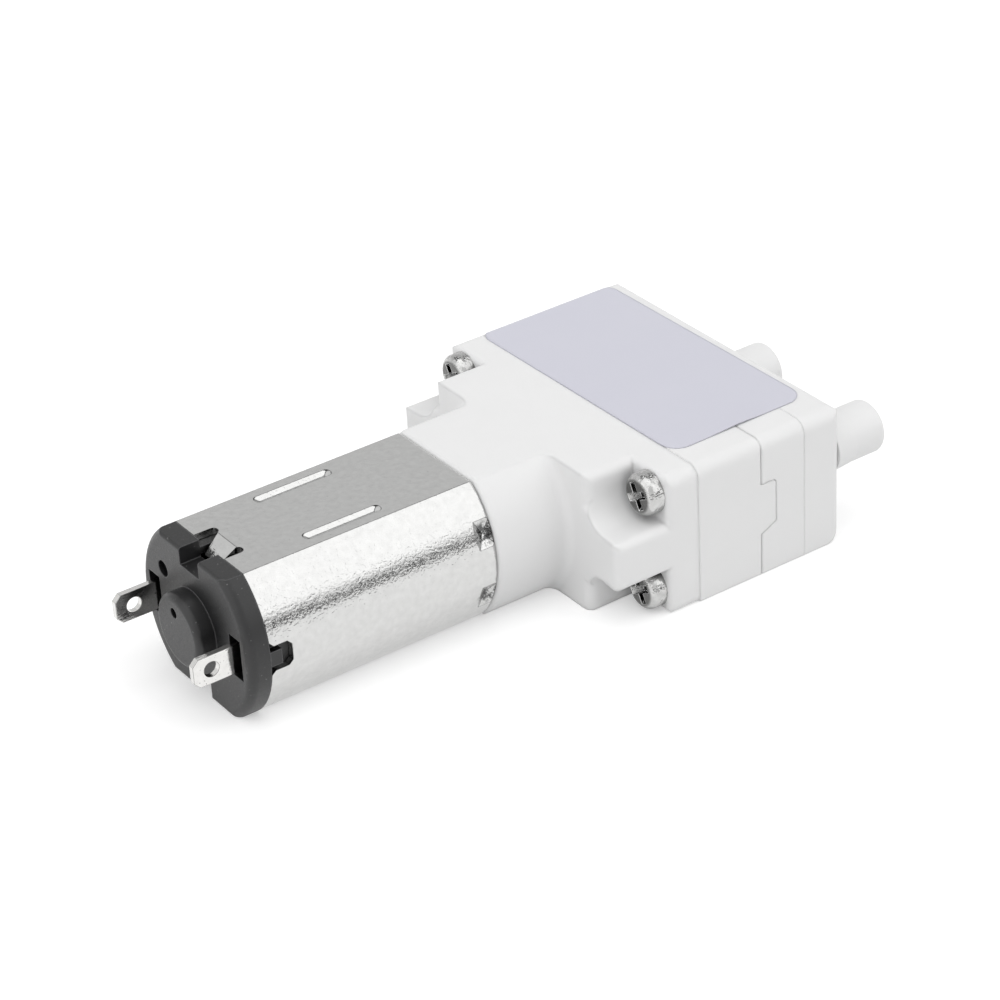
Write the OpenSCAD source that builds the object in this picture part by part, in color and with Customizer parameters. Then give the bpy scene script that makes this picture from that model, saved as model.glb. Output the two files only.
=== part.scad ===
// Micro diaphragm vacuum pump: flat-sided brush motor, wobble drive, twin rubber
// diaphragm, disc check valves and a four-layer head with two hose nozzles.
// The motor axis runs along X, the nozzles face +X, and the pump lies on z = 0.

/* [Motor can] */
// Diameter over the round sides of the can
motor_d = 15.4; // [14.8:0.1:16]
// Height over the two flats of the can, which the pump head matches
motor_h = 12.1; // [11.8:0.1:12.8]
// Length of the can
can_l = 20.4; // [20:0.1:26]
// Sheet thickness of the can
can_wall = 0.6; // [0.45:0.05:0.75]
// Radius of the drawn front edge of the can
can_edge_r = 0.4; // [0.3:0.05:0.8]
// Diameter of the drawn boss that holds the front bearing
nose_d = 6; // [5.6:0.1:6.4]
// How far that boss stands in front of the can
nose_l = 1.4; // [1.2:0.1:1.8]
// Distance of the pressed grooves from the middle of a flat
groove_y = 3.4; // [3:0.1:3.8]
// Distance of the grooves' middle from the rear edge of the can
groove_x = 9.5; // [8:0.1:11]
// Length of a pressed groove
groove_l = 6.8; // [4:0.1:9]
// Width of a pressed groove
groove_w = 0.95; // [0.7:0.05:1.2]
// Depth of a pressed groove
groove_depth = 0.3; // [0.2:0.05:0.4]

/* [End cap] */
// Thickness of the end cap's flange behind the can
flange_t = 1.8; // [1.6:0.1:2.2]
// Diameter of the round bearing boss on the end cap
boss_d = 6; // [5.6:0.1:6.6]
// How far the bearing boss stands behind the flange
boss_l = 1.6; // [1.5:0.1:2.4]
// Length of the rim that slips into the can
spigot_l = 2; // [1.6:0.1:2.4]
// Thickness of that rim
spigot_t = 0.65; // [0.5:0.05:0.75]
// Width of the crimp notches at the top and bottom of the flange
notch_w = 2.7; // [2.6:0.1:3.2]
// Height of the crimp notch's floor over the motor axis
notch_floor = 4.6; // [4.5:0.1:4.8]
// Diameter of the vent hole
vent_d = 1.35; // [1:0.05:1.5]

/* [Terminals and brushes] */
// Width of a terminal blade
blade_w = 2.4; // [2.2:0.1:2.8]
// Thickness of a terminal blade
blade_t = 0.5; // [0.3:0.05:0.6]
// How far a blade stands out behind the flange
blade_out = 3.7; // [3.2:0.1:5]
// Distance of a blade's inner face from the motor axis
blade_y = 5.35; // [5.2:0.05:5.5]
// Diameter of the wire hole in a blade
blade_hole_d = 1.28; // [1:0.02:1.5]
// Thickness of a brush leaf
leaf_t = 0.15; // [0.1:0.05:0.25]
// Width of a brush leaf along the motor axis
leaf_w = 1.6; // [1.2:0.1:1.9]

/* [Rotor] */
// Diameter of the motor shaft
shaft_d = 1.5; // [1.3:0.1:1.8]
// Outer diameter of the two sintered bearings
bearing_d = 4.4; // [4:0.1:4.8]
// Length of a bearing
bearing_l = 2; // [1.6:0.1:2.2]
// Diameter of the commutator over its copper
commutator_d = 3; // [2.8:0.1:3.4]
// Thickness of a commutator segment
segment_t = 0.35; // [0.25:0.05:0.4]
// Thickness of a magnet
magnet_t = 1.75; // [1.5:0.05:1.9]
// Length of a magnet
magnet_l = 12.4; // [10:0.1:12.6]
// Air gap between a magnet and the armature
air_gap = 0.35; // [0.25:0.05:0.5]
// Length of the laminated armature core
core_l = 8.6; // [7:0.1:8.8]
// Width of an armature arm
arm_w = 1.4; // [1.2:0.1:1.6]
// Thickness of a pole shoe
shoe_t = 0.8; // [0.6:0.05:0.9]
// How far a winding stands past each end of the core
coil_over = 1.1; // [0.7:0.1:1.2]

/* [Wobble drive] */
// Angle between the drive pin and the motor axis
tilt = 7; // [5:0.5:7.5]
// Diameter of the drive pin
pin_d = 1; // [0.8:0.05:1.2]
// Diameter of the eccentric hub on the shaft
hub_d = 5.6; // [5.2:0.1:5.8]
// Length of the eccentric hub
hub_l = 6; // [5.4:0.1:6.2]
// Depth of the wobble centre inside the diaphragm block
pivot_depth = 1.1; // [1:0.05:1.3]
// Diameter of the swing frame's pivot ball
ball_d = 2; // [1.8:0.05:2.2]
// Diameter of the swing frame's sleeve around the pin
sleeve_d = 3.4; // [3:0.1:3.6]
// Width of the swing frame's arms
swing_w = 3.2; // [2.8:0.1:3.6]
// Thickness of the swing frame's arms
swing_t = 1.4; // [1.2:0.05:1.5]

/* [Pump head] */
// Full width of the pump head
head_w = 28.6; // [28:0.1:31]
// Length of the neck between the motor and the central block
neck_l = 6.65; // [6.2:0.05:7.2]
// How much larger the neck is than the can, on the radius
neck_step = 0.1; // [0:0.05:0.3]
// Width of the base plate's wing on each side of the central block
wing_w = 4.3; // [4:0.1:4.6]
// Length of the central block in front of the base plate
block_l = 4.55; // [4.4:0.05:5.2]
// Radius of the concave corner between the neck and the block
shoulder_r = 0.8; // [0.4:0.1:1.6]
// Thickness of the base plate that the screws pull on
base_t = 2.9; // [2.6:0.1:3.4]
// Thickness of the diaphragm block
mid_t = 6.2; // [6:0.1:7]
// Thickness of the valve plate
valve_t = 4.25; // [4:0.05:5]
// Thickness of the port cover
cover_t = 3.9; // [3.6:0.1:4.6]
// Radius of the head's upper long edges
edge_r = 1.1; // [0.8:0.1:1.5]
// Radius of the head's lower long edges
low_edge_r = 0.15; // [0.1:0.05:0.6]
// Radius of the base plate's lower long edges
plate_low_r = 0.6; // [0.3:0.05:0.9]
// Radius of the port cover's back edges
back_r = 1.1; // [0.6:0.1:1.3]
// Radius of the port cover's lower back edge
back_low_r = 2; // [1:0.1:2.2]
// Radius of the edges where two layers of the head meet
seam_r = 0.1; // [0.05:0.01:0.15]
// Radius of the edges beside the valve plate, whose joints are finer
fine_seam_r = 0.05; // [0.03:0.01:0.1]
// Radius of the base plate's front edges
front_r = 0.45; // [0.3:0.05:0.6]
// Radius of the diaphragm block's edges towards the valve plate
block_back_r = 0.25; // [0.1:0.05:0.4]
// Thickness of the web that the motor bolts against
web_t = 1.8; // [1.5:0.1:2]
// Wall of the crank chamber
chamber_wall = 1.3; // [1.1:0.05:1.4]
// Height of the side ribs
rib_h = 4; // [3.6:0.1:4.4]
// Length of the locating key on each side of the diaphragm block
key_l = 1.4; // [1:0.1:2]
// Height of the locating key
key_h = 4.2; // [3:0.1:5]
// Depth of the locating key into the side
key_t = 1.2; // [0.8:0.1:1.6]

/* [Diaphragm and valves] */
// Distance between the two diaphragm cups
cup_pitch = 12.4; // [12:0.1:12.8]
// Inner diameter of a cup at its mouth
cup_d = 7; // [6.8:0.1:7.2]
// Wall thickness of a cup
cup_wall = 0.5; // [0.4:0.05:0.6]
// Thickness of the clamped rubber sheet
sheet_t = 0.8; // [0.6:0.05:1]
// Width of the sealing lip around a cup
sheet_lip = 0.85; // [0.7:0.05:0.9]
// Diameter of a cup's stem
stem_d = 1.6; // [1.4:0.05:1.8]
// Distance of a valve from the middle of its cup
valve_offset = 1.85; // [1.8:0.05:1.9]
// Diameter of a valve disc
disc_d = 2.6; // [2.4:0.05:2.7]
// Thickness of a valve disc
disc_t = 0.35; // [0.25:0.05:0.4]
// How far a valve disc lifts off its seat
disc_lift = 0.35; // [0.2:0.05:0.4]
// Diameter of the air hole under a valve disc
seat_hole_d = 1.4; // [1:0.1:1.6]
// Thickness of the cover gasket
gasket_t = 0.5; // [0.4:0.05:0.6]

/* [Nozzles] */
// Outer diameter of a nozzle where the hose grips
port_d = 4.4; // [4:0.1:4.6]
// Diameter of a nozzle at its root
port_root_d = 4.7; // [4.6:0.05:5]
// Bore of a nozzle
port_bore_d = 2.4; // [1.8:0.1:2.6]
// Length of a nozzle outside the cover
port_l = 5; // [4.5:0.1:8]
// Distance of the side nozzle from the side of the head
port_inset = 2.7; // [2.5:0.1:3]
// Sideways place of the middle nozzle
port_y = 0.9; // [0.6:0.1:1.2]
// Height of the nozzles over the motor axis
port_z = 1.4; // [1.2:0.1:1.7]

/* [Screws] */
// Thread diameter of the four case screws
screw_d = 2; // [1.8:0.1:2.2]
// Head diameter of a case screw
screw_head_d = 3.5; // [3.3:0.1:3.6]
// Head height of a case screw
screw_head_h = 1.4; // [1.2:0.1:1.6]
// Distance of a case screw from the side of the head
screw_inset_y = 2.1; // [2:0.05:2.2]
// Distance of a case screw from the top or bottom of the head
screw_inset_z = 1.85; // [1.8:0.05:1.95]
// How deep a case screw bites into the port cover
screw_bite = 2.2; // [1.6:0.1:2.3]
// Thread diameter of the two motor screws
motor_screw_d = 1.6; // [1.4:0.1:1.8]
// Distance between the two motor screws
motor_screw_pitch = 9.2; // [9:0.1:9.4]

/* [Label] */
// Width of the label along the motor axis
label_w = 13.2; // [10:0.1:14]
// Length of the label across the head
label_l = 25.4; // [18:0.1:26]
// Thickness of the label
label_t = 0.1; // [0.05:0.05:0.2]
// Turn of the label as it was stuck on
label_turn = 0.6; // [0:0.2:3]

/* [Fits] */
// Radial clearance of a running fit
run_gap = 0.03; // [0.02:0.01:0.06]
// Clearance between pieces that are seated in each other
seat_gap = 0.02; // [0.01:0.01:0.04]
// Clearance of a screw in its through hole
screw_gap = 0.1; // [0.05:0.05:0.2]

/* [Hidden] */
$fn = 64;
eps = 0.01;
// How far a cutting shape runs past the solid that it cuts
over = 1;

can_in_d = motor_d - 2 * can_wall;
can_in_h = motor_h - 2 * can_wall;
can_inner_r = 0.25;
top_z = motor_h / 2;
screw_pitch_y = head_w - 2 * screw_inset_y;
screw_pitch_z = motor_h - 2 * screw_inset_z;
block_w = head_w - 2 * wing_w;

x_flange = -flange_t;
x_boss = x_flange - boss_l;
x_tip = x_flange - blade_out;
x_web = can_l + web_t;
x_block = can_l + neck_l;
x_base = x_block + block_l;
x_mid = x_base + base_t;
x_valve = x_mid + mid_t;
x_cover = x_valve + valve_t;
x_back = x_cover + cover_t;
x_port = x_back + port_l;
x_middle = (x_tip + x_port) / 2;

// Stations of the rotor, from the rear
boss_floor = 1;
shaft_play = 0.3;
shaft_relief = 0.25;
shaft_reach = 3.2;
nose_lip = 0.3;
shaft_r = shaft_d / 2;
rear_bearing_x = x_boss + boss_floor;
x_shaft_rear = rear_bearing_x - shaft_play;
x_shaft_front = x_web + shaft_reach;
front_bearing_x = can_l + nose_l - nose_lip - bearing_l;
brush_x = 1.3;
brush_low = -3;
brush_short = 0.2;
comm_x = 0.6;
comm_l = 4;
comm_r = commutator_d / 2;
comm_base_t = 0.5;
comm_step = 0.3;
tang_l = 0.4;
tang_h = 0.6;
tang_w = 0.8;
segment_slot = 0.25;
magnet_gap = 1.8;
magnet_x = can_l - can_wall - magnet_l - magnet_gap;
magnet_out_r = can_in_d / 2 - seat_gap;
magnet_in_r = magnet_out_r - magnet_t;
magnet_edge_gap = 0.25;
magnet_half_h = can_in_h / 2 - groove_depth - magnet_edge_gap;
core_r = magnet_in_r - air_gap;
core_wall = 0.9;
core_hub_r = shaft_r + core_wall;
core_x = magnet_x + (magnet_l - core_l) / 2;
shoe_angle = 50;
coil_gap = 0.05;
coil_half_w = 1.7;
coil_r0 = core_hub_r + 2 * coil_gap;
coil_r1 = sqrt(pow(core_r - shoe_t, 2) - pow(coil_half_w, 2)) - coil_gap;
washer_t = 0.35;
washer_w = 0.65;
washer_r = shaft_r + washer_w;

// Can details
groove_wall = 0.15;
groove_floor_w = 0.2;
groove_run = 0.5;
claw_root = 1.6;
claw_l = 1.9;
claw_w0 = 2.7;
claw_w1 = 2;
claw_bend = 38;
claw_slot_w = 0.8;
claw_slot_l = 1.83;
side_notch_l = 1.85;
side_notch_w = 2.05;
side_notch_c = 0.35;
dent_angle = 21;
dent_l = 1.8;
dent_w = 2.8;
dent_depth = 0.8 * can_wall;
dent_x = 0.75;

// End cap details
cap_round_r = 0.7;
cap_flat_r = 0.25;
boss_edge_r = 0.5;
boss_pit_d = 0.85;
boss_pit_y = 0.2;
boss_pit_z = 1.57;
boss_pit_l = 0.4;
vent_y = 4.15;
vent_z = 2.9;
slot_y0 = 4.95;
slot_y1 = 6.5;
slot_half_h = 1.75;
slot_depth = 1;
blade_in = 3.2;
blade_corner = 0.5;
blade_hole_in = 1.55;
blade_hole_x = x_tip + blade_hole_in;
tab_l = 1;
tab_w = 1.25;

// Wobble drive: the pin's axis meets the motor axis at the wobble centre
hub_gap = 0.6;
pin_gap = 0.4;
sleeve_gap = 0.8;
sleeve_over = 0.6;
pin_short = 0.2;
neck_step_r = 0.25;
swing_back = 0.25;
swing_room = 0.5;
pocket_in = 0.6;
x_centre = x_mid + pivot_depth;
hub_x = can_l + nose_l + hub_gap;
x_hub_end = hub_x + hub_l;
pin_r = pin_d / 2;
pin_from = x_shaft_front + pin_gap - x_centre;
sleeve_from = x_hub_end + sleeve_gap - x_centre;
sleeve_to = -pivot_depth - sleeve_over;
pin_to = sleeve_to - pin_short;
neck_r = ball_d / 2 - neck_step_r;
swing_to = sleeve_to - swing_back;
swing_from = swing_to - swing_t;
cup_y = cup_pitch / 2;
swing_end_r = swing_w / 2;

// Pump head
neck_d = motor_d + 2 * neck_step;
chamber_h = motor_h - 2 * chamber_wall;
chamber_w = block_w - 2 * chamber_wall;
neck_edge_r = 0.35;
block_edge_r = 0.8;
rib_front = 0.4;
rib_root = 0.05;
rib_edge_r = 0.7;
rib_low_r = 0.4;
x_rib = x_block - rib_front;
relief_r = (screw_pitch_z - rib_h) / 2;
inner_edge_r = 1;
bore_gap = 0.15;
sheet_gap = 0.05;
bore_d = cup_d + 2 * cup_wall + 2 * bore_gap;
sheet_r = bore_d / 2 - bore_gap + sheet_lip;
x_sheet = x_valve - sheet_t;
cup_lift = 0.45;
cup_floor = x_mid + cup_lift;
cup_floor_r = 2.3;
cup_floor_t = 1.3;
cup_flare = 0.3;
cup_step = 0.2;
stem_r = stem_d / 2;
stem_in = 0.6;
bulb_over = 0.45;
bulb_r = stem_r + bulb_over;
bulb_l = 0.9;
stem_gap = 0.1;
key_gap = 0.04;
key_tip = 0.2;
key_drop = 0.5;

// Valves
inlet_y = cup_y + valve_offset;
outlet_y = cup_y - valve_offset;
disc_play = 0.2;
pocket_r = disc_d / 2 + disc_play;
pocket_l = disc_t + disc_lift + 2 * seat_gap;
lug_t = 0.3;
lug_reach = 0.45;
lug_slot = 0.7;
seat_step = 0.1;
x_gasket = x_cover - gasket_t;
x_outlet_seat = x_gasket - pocket_l - seat_step;
x_inlet_seat = x_valve + lug_t + pocket_l;
gasket_inset = 0.5;

// Air ways under the cover
cover_skin = 1.4;
way_gap = 0.1;
way_wall = 0.9;
way_room = 0.5;
plenum_top = x_back - cover_skin;
outlet_half_y = outlet_y + pocket_r + way_gap;
outlet_z0 = -2.3;
outlet_z1 = port_z + port_bore_d / 2 + 4 * way_gap;
inlet_y0 = outlet_half_y + way_wall;
inlet_y1 = inlet_y + seat_hole_d / 2 + way_room;
inlet_z = 3.2;
channel_z0 = -4.7;
channel_z1 = -3.3;
side_port_y = port_inset - head_w / 2;
port_reach = side_port_y - port_bore_d / 2 - way_gap;
peg_r = 0.5;
x_peg = x_outlet_seat + disc_t + disc_lift + 2 * seat_gap;
port_tip_r = 0.45;
port_taper = 0.4;

// Screws
head_edge_r = 0.65;
cross_w = 0.6;
cross_l = 2.3;
cross_floor_l = 1.2;
cross_depth = 0.8;
cross_turn = 62;
screw_tip = 0.2;
motor_head_r = 1.3;
motor_head_h = 0.8;
motor_cross_w = 0.4;
motor_cross_l = 1.6;
motor_screw_bite = 0.7;

label_r = 1.6;
label_back = 7.95;
label_x = x_back - label_back;
label_y = 1.35;

// Moves a shape from the motor's frame, with x = 0 at the rear edge of the can,
// to the part's frame, whose origin is the bottom middle of the whole pump
module place() {
    translate([-x_middle, 0, top_z]) children();
}

// Extrudes a drawing of Y and Z from x0 to x1
module along_x(x0, x1) {
    translate([x0, 0, 0]) rotate([90, 0, 90]) linear_extrude(x1 - x0) children();
}

// Extrudes a drawing of X and Z across the width
module along_y(w) {
    rotate([90, 0, 0]) linear_extrude(w, center = true) children();
}

// Turns a drawing of radius and X around the motor axis
module lathe_x() {
    rotate([90, 0, 90]) rotate_extrude() children();
}

module rod_x(x0, x1, r) {
    along_x(x0, x1) circle(r);
}

// Round outline with two flats
module flatted(d, h) {
    intersection() {
        circle(d = d);
        square([d, h], center = true);
    }
}

module rounded(w, h, r) {
    square([w, h - 2 * r], center = true);
    square([w - 2 * r, h], center = true);
    for (y = [-1, 1], z = [-1, 1]) {
        translate([y * (w / 2 - r), z * (h / 2 - r)]) circle(r);
    }
}

// Rectangle whose upper corners have radius r and whose lower corners have radius low
module plate(w, h, r, low) {
    translate([-w / 2, low - h / 2]) square([w, h - r - low]);
    translate([r - w / 2, 0]) square([w - 2 * r, h / 2]);
    translate([low - w / 2, -h / 2]) square([w - 2 * low, h / 2]);
    for (s = [-1, 1]) {
        translate([s * (w / 2 - r), h / 2 - r]) circle(r);
        translate([s * (w / 2 - low), low - h / 2]) circle(low);
    }
}

module stadium(l, w) {
    square([l - w, w], center = true);
    for (s = [-1, 1]) translate([s * (l - w) / 2, 0]) circle(d = w);
}

// Rectangle of radius and X with its outer corner at x1 rounded
module nose_profile(x0, x1, radius, r) {
    translate([0, x0]) square([radius, x1 - x0 - r]);
    translate([0, x0]) square([radius - r, x1 - x0]);
    translate([radius - r, x1 - r]) circle(r);
}

// Rectangle from x0 to x1 with both corners at x1 rounded
module nosed(x0, x1, half, r) {
    translate([x0, -half]) square([x1 - x0 - r, 2 * half]);
    translate([x0, r - half]) square([x1 - x0, 2 * (half - r)]);
    for (s = [-1, 1]) translate([x1 - r, s * (half - r)]) circle(r);
}

// Rectangle from x0 to x1 with its corners rounded by r0 at x0 and by r1 at x1
module soft_ends(x0, x1, half, r0, r1) {
    intersection() {
        nosed(x0 - over, x1, half, r1);
        mirror([1, 0]) nosed(-x1 - over, -x0, half, r0);
    }
}

// One layer of the head, its edges rounded by r0 at x0 and by r1 at x1
module layer(x0, x1, low, r0, r1) {
    intersection() {
        along_x(x0, x1) plate(head_w, motor_h, edge_r, low);
        along_y(head_w + over) soft_ends(x0, x1, motor_h / 2, r0, r1);
        linear_extrude(motor_h + over, center = true) soft_ends(x0, x1, head_w / 2, r0, r1);
    }
}

// Flat-sided barrel whose edge at x1 is rounded by r, and by flat_r on the flats
module barrel(x0, x1, d, h, r, flat_r) {
    intersection() {
        lathe_x() nose_profile(x0, x1, d / 2, r);
        along_y(d + over) nosed(x0, x1, h / 2, flat_r);
    }
}

// Puts children at both ends of a distance across the width
module both_sides(y) {
    for (s = [-1, 1]) translate([0, s * y, 0]) children();
}

module at_case_screws() {
    for (y = [-1, 1], z = [-1, 1]) {
        translate([0, y * screw_pitch_y / 2, z * screw_pitch_z / 2]) children();
    }
}

// Puts a shape made about the origin at the wobble centre, leaning with the pin
module at_swing() {
    translate([x_centre, 0, 0]) rotate([0, tilt, 0]) children();
}

// Raised inner side of the pressed grooves
module groove_backs() {
    both_sides(groove_y) translate([groove_x, 0, can_in_h / 2 - groove_depth]) {
        linear_extrude(groove_depth + eps) {
            stadium(groove_l + 2 * groove_wall, groove_w + 2 * groove_wall);
        }
    }
}

// Pressed grooves: a shallow trough with sloping sides and ends, round in plan
module groove_troughs() {
    both_sides(groove_y) translate([groove_x, 0, top_z]) intersection() {
        translate([0, 0, -motor_h / 2]) linear_extrude(motor_h) stadium(groove_l, groove_w);
        along_x(-groove_l / 2, groove_l / 2) trough(groove_w, groove_floor_w);
        along_y(groove_w) trough(groove_l, groove_l - 2 * groove_run);
    }
}

module trough(w, floor_w) {
    polygon([
        [-w / 2, 0], [-floor_w / 2, -groove_depth], [floor_w / 2, -groove_depth],
        [w / 2, 0], [w / 2, over], [-w / 2, over]
    ]);
}

// Openings at the rear edge of the can, at the top: a slot on each side of the claw
module claw_cut() {
    for (s = [-1, 1]) {
        translate([0, s * (claw_w0 + claw_slot_w) / 2, can_in_h / 2 - over]) linear_extrude(can_wall + 2 * over) {
            translate([claw_slot_l / 2 - over, 0]) stadium(claw_slot_l + 2 * over, claw_slot_w);
        }
    }
    translate([-over, -claw_w0 / 2, can_in_h / 2 - over]) cube([over + claw_root, claw_w0, can_wall + 2 * over]);
}

// Tongue of the can bent down into the end cap's notch
module claw() {
    translate([claw_root, 0, top_z]) rotate([0, -claw_bend, 0]) {
        translate([-claw_l, 0, -can_wall]) linear_extrude(can_wall) {
            polygon([[0, -claw_w1 / 2], [claw_l, -claw_w0 / 2], [claw_l, claw_w0 / 2], [0, claw_w1 / 2]]);
        }
    }
}

// Outline in X and Z of the side notch that takes the end cap's tab
module side_notch() {
    half = side_notch_w / 2;
    c = side_notch_c;
    polygon([
        [-over, -half - c], [0, -half - c], [c, -half], [side_notch_l - c, -half],
        [side_notch_l, c - half], [side_notch_l, half - c], [side_notch_l - c, half],
        [c, half], [0, half + c], [-over, half + c]
    ]);
}

// Stake mark of a blunt four-sided punch, driven into the round side
module stake_dent(side, up) {
    mirror([0, side < 0 ? 1 : 0, 0]) rotate([up * dent_angle, 0, 0]) {
        translate([can_l - dent_x, motor_d / 2, 0]) intersection() {
            along_x(-dent_w, dent_w) rotate(-90) vee(dent_w);
            linear_extrude(2 * dent_w, center = true) vee(dent_l);
        }
    }
}

// Notch of width w at y = 0, closing to a point at the depth of a stake mark
module vee(w) {
    half = w / 2 * (dent_depth + over) / dent_depth;
    polygon([[0, -dent_depth], [half, over], [-half, over]]);
}

module motor_can() {
    color("silver") place() difference() {
        union() {
            difference() {
                barrel(0, can_l, motor_d, motor_h, can_edge_r, can_edge_r);
                barrel(-over, can_l - can_wall, can_in_d, can_in_h, can_inner_r, can_inner_r);
                for (s = [0, 1]) mirror([0, 0, s]) claw_cut();
            }
            rod_x(can_l - can_wall, can_l + nose_l, nose_d / 2);
            for (s = [0, 1]) mirror([0, 0, s]) {
                groove_backs();
                claw();
            }
        }
        for (s = [0, 1]) mirror([0, 0, s]) groove_troughs();
        rod_x(can_l - 2 * over, can_l + nose_l + over, bearing_d / 2 + seat_gap);
        both_sides(motor_screw_pitch / 2) rod_x(can_l - over, can_l + over, motor_screw_d / 2 + seat_gap);
        both_sides(motor_d / 2) along_y(4 * over) side_notch();
        for (side = [-1, 1], up = [-1, 1]) stake_dent(side, up);
    }
}

module crimp_notch() {
    translate([x_flange - over, -notch_w / 2, notch_floor]) {
        cube([flange_t + spigot_l + 2 * over, notch_w, motor_h]);
    }
}

module motor_end_cap() {
    bearing_hole_r = bearing_d / 2 + seat_gap;
    color([0.16, 0.16, 0.17]) place() difference() {
        union() {
            mirror([1, 0, 0]) {
                barrel(0, flange_t, motor_d, motor_h, cap_round_r, cap_flat_r);
                lathe_x() nose_profile(0, flange_t + boss_l, boss_d / 2, boss_edge_r);
            }
            along_x(-eps, spigot_l) difference() {
                flatted(can_in_d - 2 * seat_gap, can_in_h - 2 * seat_gap);
                flatted(can_in_d - 2 * spigot_t, can_in_h - 2 * spigot_t);
            }
            both_sides(motor_d / 2 - spigot_t) along_y(2 * spigot_t - 4 * seat_gap) {
                translate([-eps, -tab_w / 2]) square([tab_l, tab_w]);
            }
        }
        for (s = [0, 1]) mirror([0, 0, s]) crimp_notch();
        rod_x(rear_bearing_x, over, bearing_hole_r);
        rod_x(x_shaft_rear - shaft_relief, over, shaft_r + shaft_relief);
        translate([0, vent_y, vent_z]) rod_x(x_flange - over, over, vent_d / 2);
        translate([0, boss_pit_y, boss_pit_z]) rod_x(x_boss - over, x_boss + boss_pit_l, boss_pit_d / 2);
        for (s = [0, 1]) mirror([0, s, 0]) {
            translate([x_flange - over, slot_y0, -slot_half_h]) {
                cube([over + slot_depth, slot_y1 - slot_y0, 2 * slot_half_h]);
            }
            translate([x_flange - over, blade_y - seat_gap, -blade_w / 2 - seat_gap]) {
                cube([flange_t + blade_in + over, blade_t + 2 * seat_gap, blade_w + 2 * seat_gap]);
            }
        }
    }
}

// Side is 1 on the left and -1 on the right, looking towards the nozzles
module terminal(side) {
    half = blade_w / 2;
    translate([0, side * (blade_y + blade_t / 2), 0]) along_y(blade_t) difference() {
        polygon([
            [x_tip, blade_corner - half], [x_tip + blade_corner, -half], [blade_in, -half],
            [blade_in, half], [x_tip + blade_corner, half], [x_tip, half - blade_corner]
        ]);
        translate([blade_hole_x, 0]) circle(d = blade_hole_d);
    }
}

module terminal_left() {
    color([0.78, 0.78, 0.76]) place() terminal(1);
}

module terminal_right() {
    color([0.78, 0.78, 0.76]) place() terminal(-1);
}

// Leaf spring bent like a U: one leg on the terminal, the other on the commutator
module brush(side) {
    high = blade_w / 2 - brush_short;
    from = comm_r + run_gap;
    to = blade_y - seat_gap;
    mirror([0, side < 0 ? 1 : 0, 0]) along_x(brush_x, brush_x + leaf_w) {
        translate([to - leaf_t, brush_low]) square([leaf_t, high - brush_low]);
        translate([from, brush_low]) square([to - from, leaf_t]);
        translate([from, brush_low]) square([leaf_t, high - brush_low]);
    }
}

module brush_left() {
    color([0.8, 0.55, 0.3]) place() brush(1);
}

module brush_right() {
    color([0.8, 0.55, 0.3]) place() brush(-1);
}

module magnet(side) {
    along_x(magnet_x, magnet_x + magnet_l) intersection() {
        difference() {
            circle(magnet_out_r);
            circle(magnet_in_r);
        }
        translate([side > 0 ? 0 : -motor_d, -magnet_half_h]) square([motor_d, 2 * magnet_half_h]);
    }
}

module magnet_left() {
    color([0.25, 0.24, 0.25]) place() magnet(1);
}

module magnet_right() {
    color([0.25, 0.24, 0.25]) place() magnet(-1);
}

module bearing(x0) {
    along_x(x0, x0 + bearing_l) difference() {
        circle(d = bearing_d);
        circle(shaft_r + run_gap);
    }
}

module front_bearing() {
    color([0.7, 0.55, 0.3]) place() bearing(front_bearing_x);
}

module rear_bearing() {
    color([0.7, 0.55, 0.3]) place() bearing(rear_bearing_x + seat_gap);
}

module motor_shaft() {
    color("lightgray") place() rod_x(x_shaft_rear, x_shaft_front, shaft_r);
}

module at_poles() {
    for (a = [90, 210, 330]) rotate(a) children();
}

// One lamination: hub, three arms and three pole shoes
module lamination() {
    difference() {
        union() {
            circle(core_hub_r);
            at_poles() {
                translate([0, -arm_w / 2]) square([core_r - shoe_t / 2, arm_w]);
                intersection() {
                    difference() {
                        circle(core_r);
                        circle(core_r - shoe_t);
                    }
                    polygon([
                        [0, 0], [2 * core_r, -2 * core_r * tan(shoe_angle)],
                        [2 * core_r, 2 * core_r * tan(shoe_angle)]
                    ]);
                }
            }
        }
        circle(shaft_r + seat_gap);
    }
}

module armature_core() {
    color([0.45, 0.46, 0.48]) place() along_x(core_x, core_x + core_l) lamination();
}

module armature_windings() {
    color([0.72, 0.35, 0.16]) place() for (a = [90, 210, 330]) {
        rotate([a, 0, 0]) difference() {
            translate([core_x - coil_over, coil_r0, -coil_half_w]) {
                cube([core_l + 2 * coil_over, coil_r1 - coil_r0, 2 * coil_half_w]);
            }
            translate([core_x - coil_gap, 0, -arm_w / 2 - coil_gap]) {
                cube([core_l + 2 * coil_gap, core_r, arm_w + 2 * coil_gap]);
            }
        }
    }
}

module commutator_core() {
    color([0.35, 0.2, 0.12]) place() difference() {
        union() {
            rod_x(comm_x, comm_x + comm_l, comm_r - segment_t - seat_gap);
            rod_x(comm_x + comm_l - comm_base_t, comm_x + comm_l, comm_r + tang_h);
        }
        rod_x(comm_x - over, comm_x + comm_l + over, shaft_r + seat_gap);
    }
}

module commutator_segments() {
    end = comm_x + comm_l - comm_base_t - seat_gap;
    color([0.8, 0.5, 0.3]) place() difference() {
        union() {
            rod_x(comm_x + comm_step, end, comm_r);
            for (a = [90, 210, 330]) {
                rotate([a, 0, 0]) translate([end - tang_l, 0, -tang_w / 2]) {
                    cube([tang_l, comm_r + tang_h, tang_w]);
                }
            }
        }
        rod_x(comm_x - over, end + over, comm_r - segment_t);
        for (a = [30, 150, 270]) {
            rotate([a, 0, 0]) translate([comm_x - over, 0, -segment_slot / 2]) {
                cube([comm_l + 2 * over, comm_r + over, segment_slot]);
            }
        }
    }
}

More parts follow.
